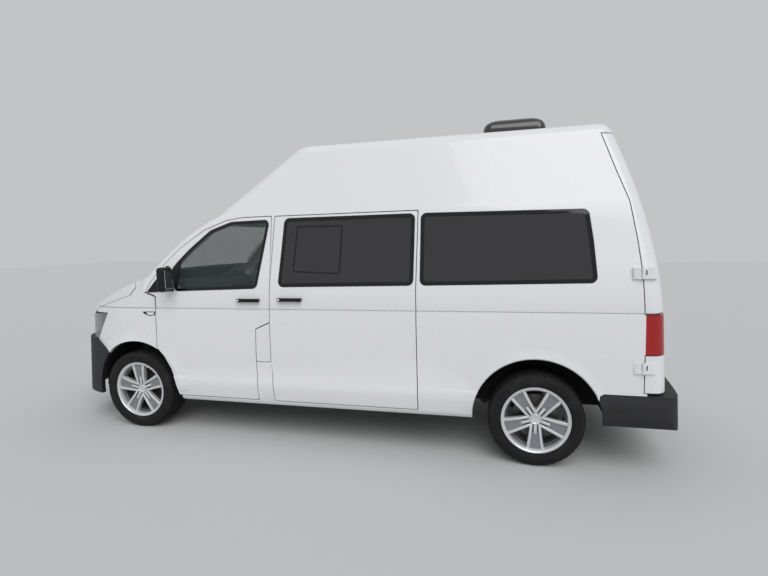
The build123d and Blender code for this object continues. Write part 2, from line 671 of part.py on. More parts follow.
def make_spare():
    """Spare wheel slung flat under the rear floor."""
    tyre = fillet((Pos(-2035, 0, 417) * Cylinder(318, 190)).edges(), 40)
    return tyre - (Pos(-2035, 0, 352) * Cylinder(170, 70)) + (Pos(-2035, 0, 512) * Cylinder(40, 15.4))


def make_front_suspension():
    """Subframe and lower arms, hung under the front rails."""
    frame = block(1460, 1540, -430, 430, 330, 399.7) + block(1960, 2040, -430, 430, 330, 399.7)
    lx, lz = level_point(STEER_LOW[0], STEER_LOW[2])
    tx, tz = level_point(STEER_TOP[0], STEER_TOP[2])
    for side in (1, -1):
        ball = Vector(lx, side * STEER_LOW[1], lz)
        pin = (Vector(tx, side * STEER_TOP[1], tz) - ball).normalized()
        frame = frame + block(1460, 2040, *sorted((side * 360, side * 440)), 330, 399.7)
        frame = frame + tube_along((2000, side * 415, 390), (2000, side * 415, 469.7), 18)
        foot = (lx, side * STEER_LOW[1], lz - 40)
        for x in (1640, 1930):
            frame = frame + tube_along((x, side * 420, 365), foot, 14)
        frame = frame + tube_along(ball - pin * 56, ball - pin * (BALL_HALF + 2 * TOUCH), 22)
    return frame


def make_rear_suspension():
    """Cross tube, trailing arms with spring seats, springs and the rear spindles."""
    ax, az = level_point(REAR_AXLE_X, AXLE_Z)
    beam = tube_along((ax + 380, -600, 350), (ax + 380, 600, 350), 34)
    for side in (1, -1):
        beam = beam + tube_along((ax + 380, side * 420, 350), (ax + 380, side * 420, 399.7), 30)
        beam = beam + tube_along((ax + 380, side * 520, 350), (ax + 20, side * 600, az - 10), 36)
        beam = beam + block(ax - 60, ax + 60, *sorted((side * 560, side * 690)), az - 60, az + 60)
        hub_y = WHEEL_Y + DISC_W - 14 - TOUCH
        beam = beam + cross_cylinder(ax, az, 55, side * 600, side * hub_y)
        spring_x = ax + 160
        beam = beam + tube_along((spring_x, side * 520, 350), (spring_x, side * 520, FLOOR_Z - FLOOR - TOUCH), 48)
    return beam


def wheel_turn(shape, axle_x, side):
    """Puts a wheel drawn about +Y at the origin, outer side to +Y, on its axle."""
    return Pos(axle_x, side * WHEEL_Y, AXLE_Z) * on_side(shape, side)


def ring(points):
    """A turned piece about +Y from its half section: radius, offset."""
    return revolve(make_face(Polyline(*points, close=True)), Axis.Y, 360)


def make_tyre():
    """Tyre with a flat tread, round shoulders and bulged walls, open to its beads."""
    w = TYRE_W / 2
    outer = [(BEAD_R, 104.4), (FLANGE_R + 0.6, 108.4), (FLANGE_R + 5, 117), (FLANGE_R + 28, w)]
    outer += [(AXLE_Z - 40, w - 3), (AXLE_Z - 12, w - 12), (AXLE_Z, w - 30)]
    inner = [(AXLE_Z - 22, w - 34), (FLANGE_R + 26, w - 14), (BEAD_R, 88)]
    loop = outer + [(r, -y) for r, y in reversed(outer)]
    loop += [(r, -y) for r, y in reversed(inner)] + inner
    return ring(loop)


def make_wheel():
    """Cast wheel: barrel with flanges, and five wide spokes from the hub to the outer lip."""
    w = RIM_W / 2
    bead = BEAD_R - TOUCH
    well = BEAD_R - 18
    barrel = [
        (FLANGE_R - 8, w), (FLANGE_R, w - 1), (FLANGE_R, w - 4), (bead, 105), (bead, 70), (well, 55), (well, -55),
        (bead, -70), (bead, -105), (FLANGE_R, -w + 4), (FLANGE_R, -w), (bead - RIM_WALL, -w),
        (bead - RIM_WALL, -72), (well - RIM_WALL, -56), (well - RIM_WALL, 56),
        (bead - RIM_WALL, 72), (bead - RIM_WALL, w),
    ]
    disc = [(0, 40), (HUB_R, 40), (150, 62), (BEAD_R - 14, 72), (BEAD_R - 4, 98), (150, 100), (HUB_R, 88), (0, 88)]
    plate = ring(disc)
    step = 360.0 / SPOKES
    window = polygon([(-14, 92), (14, 92), (88, 186), (52, 213), (-52, 213), (-88, 186)], 0, 9)
    cut = side_prism(window, -20, 140)
    for i in range(SPOKES):
        plate = plate - Rot(0, i * step, 0) * cut
    return ring(barrel) + plate


def make_disc():
    """Brake disc with its bell."""
    back, face = DISC_W - 14, DISC_W + 12
    mouth = 40 - TOUCH
    return ring([(0, back), (DISC_R, back), (DISC_R, face), (78, face), (78, mouth), (0, mouth)])


def make_knuckle():
    """Left front knuckle: upright, hub carrier, steering arm, caliper and strut with its spring."""
    x, y, z = FRONT_AXLE_X, WHEEL_Y, AXLE_Z
    back = y + DISC_W - 14 - TOUCH
    upright = block(x - 40, x + 40, 705, 750, z - 110, z + 120)
    carrier = cross_cylinder(x, z, 58, 705, back)
    arm = block(x - 150, x - 30, 690, 728, z - 60, z - 30)
    low, high = y + DISC_W - 42, y + DISC_W + 36
    caliper = block(x + 80, x + 176, low, high, z - 75, z + 75)
    slot = cross_cylinder(x, z, DISC_R + 6, y + DISC_W - 20, y + DISC_W + 18)
    slot = slot + (cross_cylinder(x, z, 72, 700, 900))
    bridge = block(x + 30, x + 110, 712, low + 6, z - 60, z + 60) - cross_cylinder(x, z, DISC_R + 6, back, 900)
    foot, top = Vector(x - 8, 652, z + 60), Vector(*STEER_TOP)
    clamp = block(x - 45, x + 30, 640, 720, z + 50, z + 120)
    lean = (top - foot).normalized()
    strut = tube_along(foot, top, 24) + tube_along(foot + lean * 300, top - lean * 12, 66) + Pos(top) * Sphere(24)
    pin = (top - Vector(*STEER_LOW)).normalized()
    ball = tube_along(Vector(*STEER_LOW) - pin * BALL_HALF, Vector(*STEER_LOW) + pin * 32, BALL_R)
    return upright + carrier + arm + bridge + (caliper - slot) + clamp + strut + ball


def make_roof_vent():
    """Smoked dome of the roof vent on its base frame."""
    dome = loft([
        Pos(-1506, 200, ROOF_TOP_Z - 12) * RectangleRounded(480, 480, 60),
        Pos(-1506, 200, ROOF_TOP_Z + 60) * RectangleRounded(460, 460, 60),
        Pos(-1506, 200, ROOF_TOP_Z + 108) * RectangleRounded(330, 330, 60),
    ])
    return dome


if __name__ == "__main__":
    os.makedirs("parts", exist_ok=True)

    # Opening panels
    cab_door, cab_glass = make_cab_door()
    rear_door, rear_glass = make_rear_door()
    mirror_left = make_mirror()
    for side, name in ((1, "left"), (-1, "right")):
        save("cab_door_" + name, on_side(cab_door, side))
        save("cab_window_" + name, on_side(cab_glass, side))
        save("door_mirror_" + name, on_side(mirror_left, side))
        save("rear_door_" + name, on_side(rear_door, side))
        save("rear_window_" + name, on_side(rear_glass, side))
    save("bonnet", make_bonnet())
    flap_skin = (lower - lower_thin) & block(300, 700, 800, 1100, 600, 1100)
    save("fuel_flap", Pos(0, TOUCH, 0) * (flap_skin & side_zone(FUEL_FLAP, 1, -SHUT_GAP / 2 - 1)))

    # Fixed body walls behind the cab
    sliding_door, door_glass = make_sliding_door()
    save("sliding_door", sliding_door)
    tail_lamp, lamp_stub = make_tail_lamp()
    save("tail_lamps", tail_lamp, mirrored(tail_lamp))
    wall = left_shell & block(-2900, 421, 250, 1100, 0, 2000)
    wall = wall - through_zone(TAIL_SEAM, SHUT_GAP / 2) - through_zone(rear_bumper_points) - rear_arches
    wall = wall - block(-2900, -2380, 0, 1000, 540, 562)
    wall = hinged(wall + lamp_stub, False)
    wall, quarter_glass = glazed(wall, REAR_SIDE_WINDOW, 1)
    save("side_panel_left", wall - side_zone(SLIDING_DOOR, 1, SHUT_GAP / 2))
    right_wall, mid_glass = glazed(mirrored(wall), DOOR_WINDOW, -1)
    save("side_panel_right", right_wall)
    save("side_windows", door_glass, quarter_glass, mirrored(quarter_glass), mid_glass)
    save("high_roof", roof_shell - through_zone(TAIL_SEAM, SHUT_GAP / 2))
    save("roof_vent", make_roof_vent() - roof_skin(0.0))

    # Cab walls, wings and nose
    frame_points = [
        (421, 300), (1345, 300), (1345, 350), (1512, 700), (1512, 1216), (1612, 1250), (1640, 1252),
        (1652, COWL_TOP_Z), (2100, COWL_TOP_Z), (2100, 1890), (421, 1890),
    ]
    cab_side = left_shell & block(421, 2900, 250, 1100, 0, 2000)
    cab_side = cab_side - side_zone(CAB_DOOR, 1, SHUT_GAP / 2) - front_arches
    cab_side = cab_side - (side_zone(FUEL_FLAP, 1, SHUT_GAP / 2 - 1) - lower_thin)
    side_frame = (cab_side & through_zone(frame_points)) + make_hinge_pillar() + make_b_post()
    middle = (shell & block(421, 2900, -250, 250, 0, 2000)) & through_zone(frame_points)
    frame, screen = end_glazed(side_frame + middle + mirrored(side_frame), WINDSCREEN, 600, 2500)
    save("cab_frame", frame)
    save("windscreen", screen)
    save("cowl", make_cowl())
    wing_points = [
        (1345, 350), (1514, 700), (1514, 1205), (1590, 1232), (1622, 1246), *BONNET_SEAM[:4], (2200, 1059), (2041, 1059),
        HEADLAMP_REAR[1], BUMPER_LINE[2], BUMPER_LINE[1], (2035, 350),
    ]
    wing = (lower & side_zone(wing_points, 1, 0, 0)) - side_zone(CAB_DOOR, 1, SHUT_GAP / 2) - front_arches
    wing = wing - lower_thin
    save("front_wings", wing, mirrored(wing))
    save("headlamps", shell & headlamp_zone(-0.3))
    grille_half = (left_shell + (shell & block(2200, 2900, 0, 250, 700, 1100))) & end_prism(polygon(GRILLE), 2200, 2900)
    for z in GRILLE_BARS:
        grille_half = grille_half - block(2200, 2900, 12, 535, z - 9, z + 9)
    save("grille", grille_half + mirrored(grille_half))
    front_bumper = bumper(FRONT_BUMPER_STEP, 0, through_zone(bumper_points), 40, 2035, 2900, 811)
    save("front_bumper", front_bumper - front_arches)
    rear_bumper = bumper(0, REAR_BUMPER_STEP, through_zone(rear_bumper_points), 40, -2900, -2035, 543)
    save("rear_bumper", rear_bumper - rear_arches)

    # Floor, cab fittings and running gear
    save("floor_pan", make_floor())
    save("dashboard", make_dashboard())
    save("steering_wheel", make_steering_wheel())
    pads = make_seats()
    save("cab_seats", *pads)
    save("seat_bases", *make_seat_bases(pads))
    save("engine_block", make_engine())
    save("fuel_tank", make_tank())
    save("exhaust", make_exhaust())
    save("spare_wheel", make_spare())
    save("front_suspension", make_front_suspension())
    save("rear_suspension", make_rear_suspension())

    # Wheels
    tyre, wheel, disc = make_tyre(), make_wheel(), make_disc()
    for axle, x in (("front", FRONT_AXLE_X), ("rear", REAR_AXLE_X)):
        for side, name in ((1, "left"), (-1, "right")):
            tag = axle + "_" + name
            save("tyre_" + tag, wheel_turn(tyre, x, side), level=False)
            save("wheel_" + tag, wheel_turn(wheel, x, side), level=False)
            save("disc_" + tag, wheel_turn(disc, x, side), level=False)
    knuckle = make_knuckle()
    for side, name in ((1, "left"), (-1, "right")):
        save("knuckle_" + name, on_side(knuckle, side), level=False)
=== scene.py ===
import bpy
import json
import math
from mathutils import Matrix, Vector


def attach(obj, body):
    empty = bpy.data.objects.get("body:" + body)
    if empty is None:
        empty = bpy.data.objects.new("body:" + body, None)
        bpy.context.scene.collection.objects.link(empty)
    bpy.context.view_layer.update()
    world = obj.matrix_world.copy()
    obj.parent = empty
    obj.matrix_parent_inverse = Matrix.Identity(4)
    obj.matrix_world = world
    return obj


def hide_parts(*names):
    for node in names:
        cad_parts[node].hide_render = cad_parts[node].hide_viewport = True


# A long-wheelbase, high-roof panel van, dressed over its packed construction.
# Lengths below are in millimetres; at() turns a place on the level body to metres as the van stands.
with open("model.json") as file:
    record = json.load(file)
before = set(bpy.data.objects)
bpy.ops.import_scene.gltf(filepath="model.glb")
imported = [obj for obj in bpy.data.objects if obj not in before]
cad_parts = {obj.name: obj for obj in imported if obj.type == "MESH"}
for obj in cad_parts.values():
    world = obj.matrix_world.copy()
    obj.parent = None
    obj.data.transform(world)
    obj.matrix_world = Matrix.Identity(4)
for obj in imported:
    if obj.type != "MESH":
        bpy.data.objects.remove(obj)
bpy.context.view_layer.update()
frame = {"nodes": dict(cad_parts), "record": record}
nodes = frame["nodes"]

MM = 0.001
RAKE = math.radians(0.9)
RAKE_PIVOT = 330.0
SIDES = (("left", 1), ("right", -1))

# Camera, read from the vanishing lines of the photograph
CAMERA_AT = (-1472.34, 4538.25, 1670.09)
CAMERA_YAW = 0.25499
CAMERA_PITCH = -0.10081
CAMERA_ROLL = -0.01030
CAMERA_LENS = 23.065

# Light of a bright, cloudy day
SKY_LIGHT = 0.58
SKY_SHOWN = 0.56
SUN_ENERGY = 1.55
SUN_FROM = (-0.3, 0.62, 0.72)

# Wheels: axle places, sizes about the wheel's own axle
AXLES = (("front", 1744.0), ("rear", -1656.0))
AXLE_Z = 343.0
WHEEL_Y = 814.0
TYRE_R = 343.0
TYRE_W = 255.0
FLANGE_R = 246.0
BEAD_R = 229.0
RIM_W = 226.0
SPOKES = 5
FRONT_WHEEL_TURN = 42.0
BOLT_R = 9.5
BOLT_LENGTH = 12.0
BOLT_Y = 78.0
BOLT_CIRCLE_R = 60.0
CUT_R = 334.0
CUT_Y = (76.0, 113.0)

# Openings and trim on the level body
SLIDER_PANE = ((198, 1779), (219, 1410), (-182, 1391), (-194, 1774))
INDICATOR = ((1646, 1078), (1514, 1080), (1516, 1050), (1562, 1040), (1622, 1056))
INDICATOR_LENS = ((1606, 1072), (1524, 1074), (1526, 1054), (1564, 1048), (1594, 1058))
CAB_HANDLE = (503.0, 706.0, 1184.0)
SLIDING_HANDLE = (131.0, 339.0, 1191.0)
HANDLE_ROOM = (12.0, 40.0)
HANDLE_FACE_Y = 966.5
DOT_INSET = 17.0
DOOR_SURFACE_Y = 930.0
CLEAR_Y = 1100.0
MISSED_Y = 1050.0
SHEET_CUTS = 9
SHEET_THICK = 1.2
ARCH_REACH = 480.0
TUB_Y = 490.0
ARCH_LIP = (446.0, 536.0)
ARCH_ENDS = (4.0, 176.0)
WING_LIP_END = 104.0
DOOR_LIP_START = 126.0
ARCH_FLARE = 11.0
LIP_THICK = 3.0
LIP_FADE = 22.0
CAB_WINDOW = (
    (535, 1278), (443, 1840), (804, 1832), (997, 1766),
    (1189, 1614), (1302, 1505), (1360, 1437), (1315, 1256),
)
DOOR_WINDOW = ((345, 1290), (-770, 1301), (-775, 1845), (310, 1845))
REAR_SIDE_WINDOW = ((-820, 1301), (-2063, 1316), (-2039, 1611), (-2009, 1830), (-820, 1845))
SAIL = ((1568, 1252), (1318, 1256), (1362, 1436))
SAIL_GLASS = ((1354, 1432), (1312, 1260), (1284, 1262), (1256, 1542), (1298, 1500))
GLASS_CORNER = 45.0
BORDER_LIFT = 1.2
SIDE_BORDER = 26.0
CAB_BORDER = 22.0
MIRROR_GLASS = ((1281, 1286), (984, 1076), (1288, 1444))
COWL_PAINT_Y = 600.0
REAR_HINGES = ((-2372, 953, 738), (-2361, 929, 1383))
SLOT_DEPTH = 5.0
SLOT_HALF = 4.0
SLOT_REACH = 20.0
PAINTED = (
    "bonnet", "cab_frame", "front_wings", "fuel_flap", "high_roof", "rear_door_left", "rear_door_right",
    "side_panel_left", "side_panel_right",
)
SEATS = ((-680.0, -190.0), (-130.0, 330.0), (340.0, 800.0))
CUSHION = ((620, 802), (1120, 812), (1135, 905), (1090, 940), (720, 900), (620, 900))
BACK = ((598, 900.3), (716, 900.3), (618, 1470), (575, 1500), (500, 1490))
HEAD_REST = ((520, 1540), (590, 1535), (575, 1690), (505, 1690))
SEAT_PARTS = ((CUSHION, 225.0, 18.0), (BACK, 225.0, 18.0), (HEAD_REST, 130.0, 16.0))
SEAT_PRESSURE = 4.0
SEAT_FRAMES = 20


def at(x, y, z):
    """A place on the level body, where the van stands, in metres."""
    dz = z - RAKE_PIVOT
    return Vector((
        (x * math.cos(RAKE) + dz * math.sin(RAKE)) * MM,
        y * MM,
        (-x * math.sin(RAKE) + dz * math.cos(RAKE) + RAKE_PIVOT) * MM,
    ))


# Shader values and finishes

class Value:
    """A number or colour inside a finish; sums and products of it add Math nodes."""

    def __init__(self, finish, socket):
        self.finish = finish
        self.socket = socket

    def _math(self, operation, first, second):
        return self.finish.add("ShaderNodeMath", {"operation": operation}, {0: first, 1: second})

    def __add__(self, other):
        return self._math("ADD", self, other)

    __radd__ = __add__

    def __sub__(self, other):
        return self._math("SUBTRACT", self, other)

    def __rsub__(self, other):
        return self._math("SUBTRACT", other, self)

    def __mul__(self, other):
        return self._math("MULTIPLY", self, other)

    __rmul__ = __mul__

    def __truediv__(self, other):
        return self._math("DIVIDE", self, other)

    def clamp(self):
        return self.finish.add("ShaderNodeClamp", {}, {0: self})


class Finish:
    """One material: a Principled shader and the nodes that feed it."""

    def __init__(self, name, color, roughness, **fixed):
        self.material = bpy.data.materials.new(name)
        self.material.use_nodes = True
        self.tree = self.material.node_tree
        self.shader = self.tree.nodes["Principled BSDF"]
        self.color = color
        self.set("Base Color", (*color, 1.0))
        self.set("Roughness", roughness)
        for socket, value in fixed.items():
            self.set(socket.replace("_", " "), value)

    def set(self, socket, value):
        target = self.shader.inputs[socket]
        if isinstance(value, Value):
            self.tree.links.new(value.socket, target)
        else:
            target.default_value = value

    def add(self, kind, settings, sockets, output=0):
        """Adds a node, sets its settings first, then feeds its sockets."""
        node = self.tree.nodes.new(kind)
        for key, value in settings.items():
            setattr(node, key, value)
        for key, value in sockets.items():
            if isinstance(value, Value):
                self.tree.links.new(value.socket, node.inputs[key])
            else:
                node.inputs[key].default_value = value
        return Value(self, node.outputs[output])

    def place(self, scale=(1.0, 1.0, 1.0)):
        where = self.add("ShaderNodeTexCoord", {}, {}, "Object")
        if scale == (1.0, 1.0, 1.0):
            return where
        return self.add("ShaderNodeMapping", {}, {"Vector": where, "Scale": scale})

    def noise(self, scale, detail=3.0, stretch=(1.0, 1.0, 1.0)):
        sockets = {"Vector": self.place(stretch), "Scale": scale, "Detail": detail}
        return self.add("ShaderNodeTexNoise", {}, sockets)

    def waves(self, direction, scale):
        sockets = {"Vector": self.place(), "Scale": scale}
        return self.add("ShaderNodeTexWave", {"bands_direction": direction}, sockets, 1)

    def height(self):
        where = self.place()
        return self.add("ShaderNodeSeparateXYZ", {}, {0: where}, 2)

    def mix(self, mask, first, second):
        """Blends two colours by a mask."""
        node = self.tree.nodes.new("ShaderNodeMix")
        node.data_type = "RGBA"
        self.tree.links.new(mask.socket, node.inputs["Factor"])
        for key, value in ((6, first), (7, second)):
            if isinstance(value, Value):
                self.tree.links.new(value.socket, node.inputs[key])
            else:
                node.inputs[key].default_value = (*value, 1.0)
        return Value(self, node.outputs[2])

    def bump(self, height, strength, distance):
        sockets = {"Height": height, "Strength": strength, "Distance": distance}
        self.set("Normal", self.add("ShaderNodeBump", {}, sockets))


def shade(color, factor):
    return tuple(c * factor for c in color)


def make_paint():
    """Gloss white body paint: faint orange peel, and painted shade low on the body, darker and a little
    rougher in patches towards the bottom.
    """
    finish = Finish("white_paint", (0.74, 0.75, 0.77), 0.28, Coat_Weight=0.35, Coat_Roughness=0.06)
    # Painted shade: the paint darkens in patches below 0.75 m, more towards the bottom.
    low_painted_shade = ((0.75 - finish.height()) * 1.6).clamp() * finish.noise(3.5, 3.0, (1.0, 1.0, 2.5))
    finish.set("Base Color", finish.mix(low_painted_shade * 0.16, finish.color, (0.52, 0.51, 0.49)))
    finish.set("Roughness", 0.26 + finish.noise(6.0) * 0.03 + low_painted_shade * 0.1)
    finish.bump(finish.noise(900.0, 1.0), 0.02, 0.0003)
    return finish.material


def make_grained(name, color, roughness, grain=900.0, depth=0.35):
    """Moulded plastic with a fine leather grain and slightly faded patches."""
    finish = Finish(name, color, roughness, Specular_IOR_Level=0.3)
    patches = finish.noise(6.0, 4.0)
    finish.set("Base Color", finish.mix(patches, shade(color, 0.82), shade(color, 1.3)))
    cells = finish.add("ShaderNodeTexVoronoi", {}, {"Vector": finish.place(), "Scale": grain})
    finish.set("Roughness", roughness - 0.06 + patches * 0.14)
    finish.bump(cells, depth, 0.0006)
    return finish.material


def make_rubber(name, color):
    """Matt rubber, dusty in patches."""
    finish = Finish(name, color, 0.82, Specular_IOR_Level=0.3)
    dust = (finish.noise(9.0, 6.0) - 0.48) * 1.2
    finish.set("Base Color", finish.mix(dust.clamp(), color, (0.045, 0.043, 0.041)))
    finish.set("Roughness", 0.72 + finish.noise(60.0) * 0.2)
    finish.bump(finish.noise(1400.0, 2.0), 0.3, 0.0005)
    return finish.material


def make_metal(name, color, roughness, metallic, grain=(1.0, 1.0, 1.0), scale=220.0):
    finish = Finish(name, color, roughness, Metallic=metallic)
    streaks = finish.noise(scale, 3.0, grain)
    finish.set("Base Color", finish.mix(streaks, shade(color, 0.9), shade(color, 1.08)))
    finish.set("Roughness", roughness - 0.05 + streaks * 0.12)
    finish.bump(streaks, 0.06, 0.0004)
    return finish.material


def make_glass(name, color, alpha):
    """Glazing: see-through by alpha, with its gloss on top and a faint film."""
    finish = Finish(name, color, 0.03, Alpha=alpha, IOR=1.45)
    finish.set("Roughness", 0.02 + finish.noise(5.0, 4.0) * 0.05)
    return finish.material


def make_gloss(name, color, roughness, coat_weight, metallic=0.0):
    """A smooth moulding or mirror: its colour and shine change a little from place to place."""
    finish = Finish(name, color, roughness, Coat_Weight=coat_weight, Metallic=metallic)
    patches = finish.noise(12.0, 4.0)
    finish.set("Base Color", finish.mix(patches, shade(color, 0.9), shade(color, 1.1)))
    finish.set("Roughness", roughness + patches * 0.05)
    return finish.material


def make_cloth(name, color, light):
    """Woven seat cloth: crossing threads with flecks of a lighter yarn."""
    finish = Finish(name, color, 0.95, Sheen_Weight=0.4, Sheen_Roughness=0.5)
    weave = (finish.waves("X", 160.0) + finish.waves("Z", 160.0) + finish.waves("Y", 160.0)) / 3.0
    flecks = ((finish.noise(420.0, 2.0) - 0.55) * 5.0).clamp()
    finish.set("Base Color", finish.mix(weave * 0.35 + flecks * 0.4, color, light))
    finish.bump(weave, 0.5, 0.0007)
    return finish.material


def make_red_lens():
    """Red lamp lens with fine level flutes moulded inside."""
    finish = Finish("red_lens", (0.38, 0.004, 0.004), 0.12, Coat_Weight=0.2, Coat_Roughness=0.03)
    flutes = finish.waves("Z", 42.0)
    finish.set("Base Color", finish.mix(flutes * 0.6, (0.26, 0.002, 0.003), (0.50, 0.006, 0.005)))
    finish.bump(flutes, 0.15, 0.0012)
    return finish.material


def make_floor_finish():
    finish = Finish("floor_plain", (0.55, 0.55, 0.55), 0.9)
    finish.set("Roughness", 0.85 + finish.noise(2.0) * 0.1)
    return finish.material


PAINT = make_paint()
GREY_PLASTIC = make_grained("grey_plastic", (0.024, 0.024, 0.028), 0.62)
# Black plastic; it also gives the painted shade in the rear hinges' pin pockets.
BLACK_PLASTIC_AND_POCKET_SHADE = make_grained("black_plastic", (0.006, 0.006, 0.007), 0.42, 1300.0, 0.15)
DASH_PLASTIC = make_grained("dash_plastic", (0.035, 0.036, 0.040), 0.70, 700.0)
SMOKED = make_gloss("smoked_plastic", (0.028, 0.024, 0.024), 0.12, 0.5)
# Seal rubber; it also gives the painted shade in the spokes' slots.
SEAL_AND_SLOT_SHADE = make_rubber("seal_rubber_and_slot_shade", (0.010, 0.010, 0.010))
TYRE = make_rubber("tyre_rubber", (0.009, 0.009, 0.010))
CLEAR = make_glass("clear_glass", (0.05, 0.068, 0.063), 0.30)
DARK = make_glass("dark_glass", (0.034, 0.031, 0.035), 0.96)
LENS = make_glass("lamp_lens", (0.26, 0.27, 0.29), 0.60)
FRIT = make_glass("glass_border", (0.004, 0.004, 0.005), 1.0)
ALLOY = make_metal("wheel_alloy", (0.70, 0.70, 0.72), 0.30, 0.45)
ALLOY_BAND = make_metal("wheel_band", (0.27, 0.27, 0.29), 0.38, 0.5)
# Dark alloy for the bolts, and painted shade inside the wheel's barrel.
DARK_ALLOY_AND_BARREL_SHADE = make_metal("wheel_bolts_and_barrel_shade", (0.10, 0.10, 0.105), 0.5, 0.4)
IRON = make_metal("brake_iron", (0.13, 0.125, 0.12), 0.45, 0.9, (1.0, 0.05, 1.0), 300.0)
STEEL = make_metal("exhaust_steel", (0.33, 0.31, 0.29), 0.45, 0.9, (0.05, 1.0, 1.0), 90.0)
ENGINE = make_metal("engine_metal", (0.16, 0.16, 0.165), 0.6, 0.5, scale=30.0)
CHASSIS = make_grained("chassis_paint", (0.022, 0.022, 0.024), 0.6, 260.0, 0.2)
UNDERBODY = make_grained("underbody_paint", (0.16, 0.165, 0.17), 0.75, 160.0, 0.4)
LINER = make_grained("liner_plastic", (0.010, 0.010, 0.010), 0.9, 220.0, 0.5)
CLOTH = make_cloth("seat_cloth", (0.020, 0.021, 0.025), (0.085, 0.09, 0.105))
RED = make_red_lens()
WHITE_LENS = make_gloss("white_lens", (0.72, 0.73, 0.74), 0.12, 1.0)
MIRROR = make_gloss("mirror_glass", (0.75, 0.77, 0.79), 0.03, 0.0, 1.0)


# Modelling helpers

def only(piece):
    bpy.ops.object.select_all(action="DESELECT")
    piece.select_set(True)
    bpy.context.view_layer.objects.active = piece


def edit(piece, mode="FACE"):
    only(piece)
    bpy.ops.object.mode_set(mode="EDIT")
    bpy.ops.mesh.select_mode(type=mode)
    bpy.ops.mesh.select_all(action="DESELECT")


def leave():
    bpy.ops.object.mode_set(mode="OBJECT")


def pick(piece, test, kind="polygons"):
    """Selects the faces (or vertices) that pass a test, and returns to edit mode."""
    bpy.ops.mesh.select_all(action="DESELECT")
    bpy.ops.object.mode_set(mode="OBJECT")
    for item in getattr(piece.data, kind):
        item.select = bool(test(item))
    bpy.ops.object.mode_set(mode="EDIT")


def everything():
    bpy.ops.mesh.select_all(action="SELECT")


def settle(piece):
    """Puts a piece's place into its mesh."""
    only(piece)
    bpy.ops.object.transform_apply(location=True, rotation=True, scale=True)
    return piece


def modify(piece, kind, **settings):
    only(piece)
    modifier = piece.modifiers.new(kind.title(), kind)
    for key, value in settings.items():
        setattr(modifier, key, value)
    bpy.ops.object.modifier_apply(modifier=modifier.name)
    return piece


def smooth(piece, angle=35.0):
    only(piece)
    bpy.ops.object.shade_smooth_by_angle(angle=math.radians(angle))
    return piece


def coat(piece, *materials):
    """Gives a piece its finishes, and keeps which face has which."""
    piece.data.materials.clear()
    for material in materials:
        piece.data.materials.append(material)
    return piece


def keep(piece, name, body, replaces=()):
    """Names a finished piece, puts it on its body and hides the CAD parts it replaces."""
    piece.name = name
    piece.data.name = name
    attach(piece, body)
    if replaces:
        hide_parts(*replaces)
    return piece


def copied(piece, matrix=None):
    """A copy with its own mesh; a mirroring matrix turns its faces out again."""
    twin = piece.copy()
    twin.data = piece.data.copy()
    bpy.context.scene.collection.objects.link(twin)
    if matrix is not None:
        twin.data.transform(matrix)
        if matrix.determinant() < 0:
            edit(twin)
            everything()
            bpy.ops.mesh.flip_normals()
            leave()
    return twin


def joined(pieces):
    bpy.ops.object.select_all(action="DESELECT")
    for piece in pieces:
        piece.select_set(True)
    bpy.context.view_layer.objects.active = pieces[0]
    bpy.ops.object.join()
    return pieces[0]


def drawn(points, fill=True):
    """A closed outline through points, each pushed out from the last; filled unless told not to."""
    bpy.ops.object.select_all(action="DESELECT")
    bpy.ops.mesh.primitive_plane_add(size=0.001, location=points[0])
    piece = settle(bpy.context.object)
    edit(piece, "VERT")
    everything()
    bpy.ops.mesh.merge(type="CENTER")
    for start, end in zip(points, points[1:]):
        step = Vector(end) - Vector(start)
        bpy.ops.mesh.extrude_vertices_move(TRANSFORM_OT_translate={"value": step})
    everything()
    bpy.ops.mesh.edge_face_add()
    if not fill:
        bpy.ops.mesh.select_mode(type="FACE")
        everything()
        bpy.ops.mesh.delete(type="ONLY_FACE")
    leave()
    return piece


def outward(piece):
    edit(piece)
    everything()
    bpy.ops.mesh.remove_doubles(threshold=0.00002)
    bpy.ops.mesh.normals_make_consistent(inside=False)
    leave()
    return piece


def prism(points, push):
    """A flat outline pushed into a solid."""
    piece = drawn(points)
    edit(piece)
    everything()
    bpy.ops.mesh.extrude_region_move(TRANSFORM_OT_translate={"value": Vector(push)})
    leave()
    return outward(piece)


def turned(profile, steps):
    """A ring about the Y axis from its half section, radius and offset in millimetres."""
    piece = drawn([(0.0, offset * MM, radius * MM) for radius, offset in profile], fill=False)
    edit(piece, "EDGE")
    everything()
    bpy.ops.mesh.spin(steps=steps, angle=2 * math.pi, center=(0, 0, 0), axis=(0, 1, 0))
    leave()
    return outward(piece)


def slab(low, high, bevel=0.0, segments=2):
    """A box between two places of the level body, with its edges rounded."""
    bpy.ops.object.select_all(action="DESELECT")
    bpy.ops.mesh.primitive_cube_add(size=1.0)
    piece = bpy.context.object
    piece.scale = [(far - near) * MM for near, far in zip(low, high)]
    piece.location = at(*[(near + far) / 2 for near, far in zip(low, high)])
    piece.rotation_euler = (0.0, RAKE, 0.0)
    settle(piece)
    if bevel:
        modify(piece, "BEVEL", width=bevel * MM, segments=segments, limit_method="ANGLE")
    return piece


def side_hit(node, x, z, side=1):
    """The place on a side panel's outer face at x, z of the level body."""
    start = at(x, 0.0, z)
    start.y = side * 1.3
    hit, place, normal, index = nodes[node].ray_cast(start, Vector((0.0, -side, 0.0)))
    return place if hit else Vector((start.x, side * DOOR_SURFACE_Y * MM, start.z))


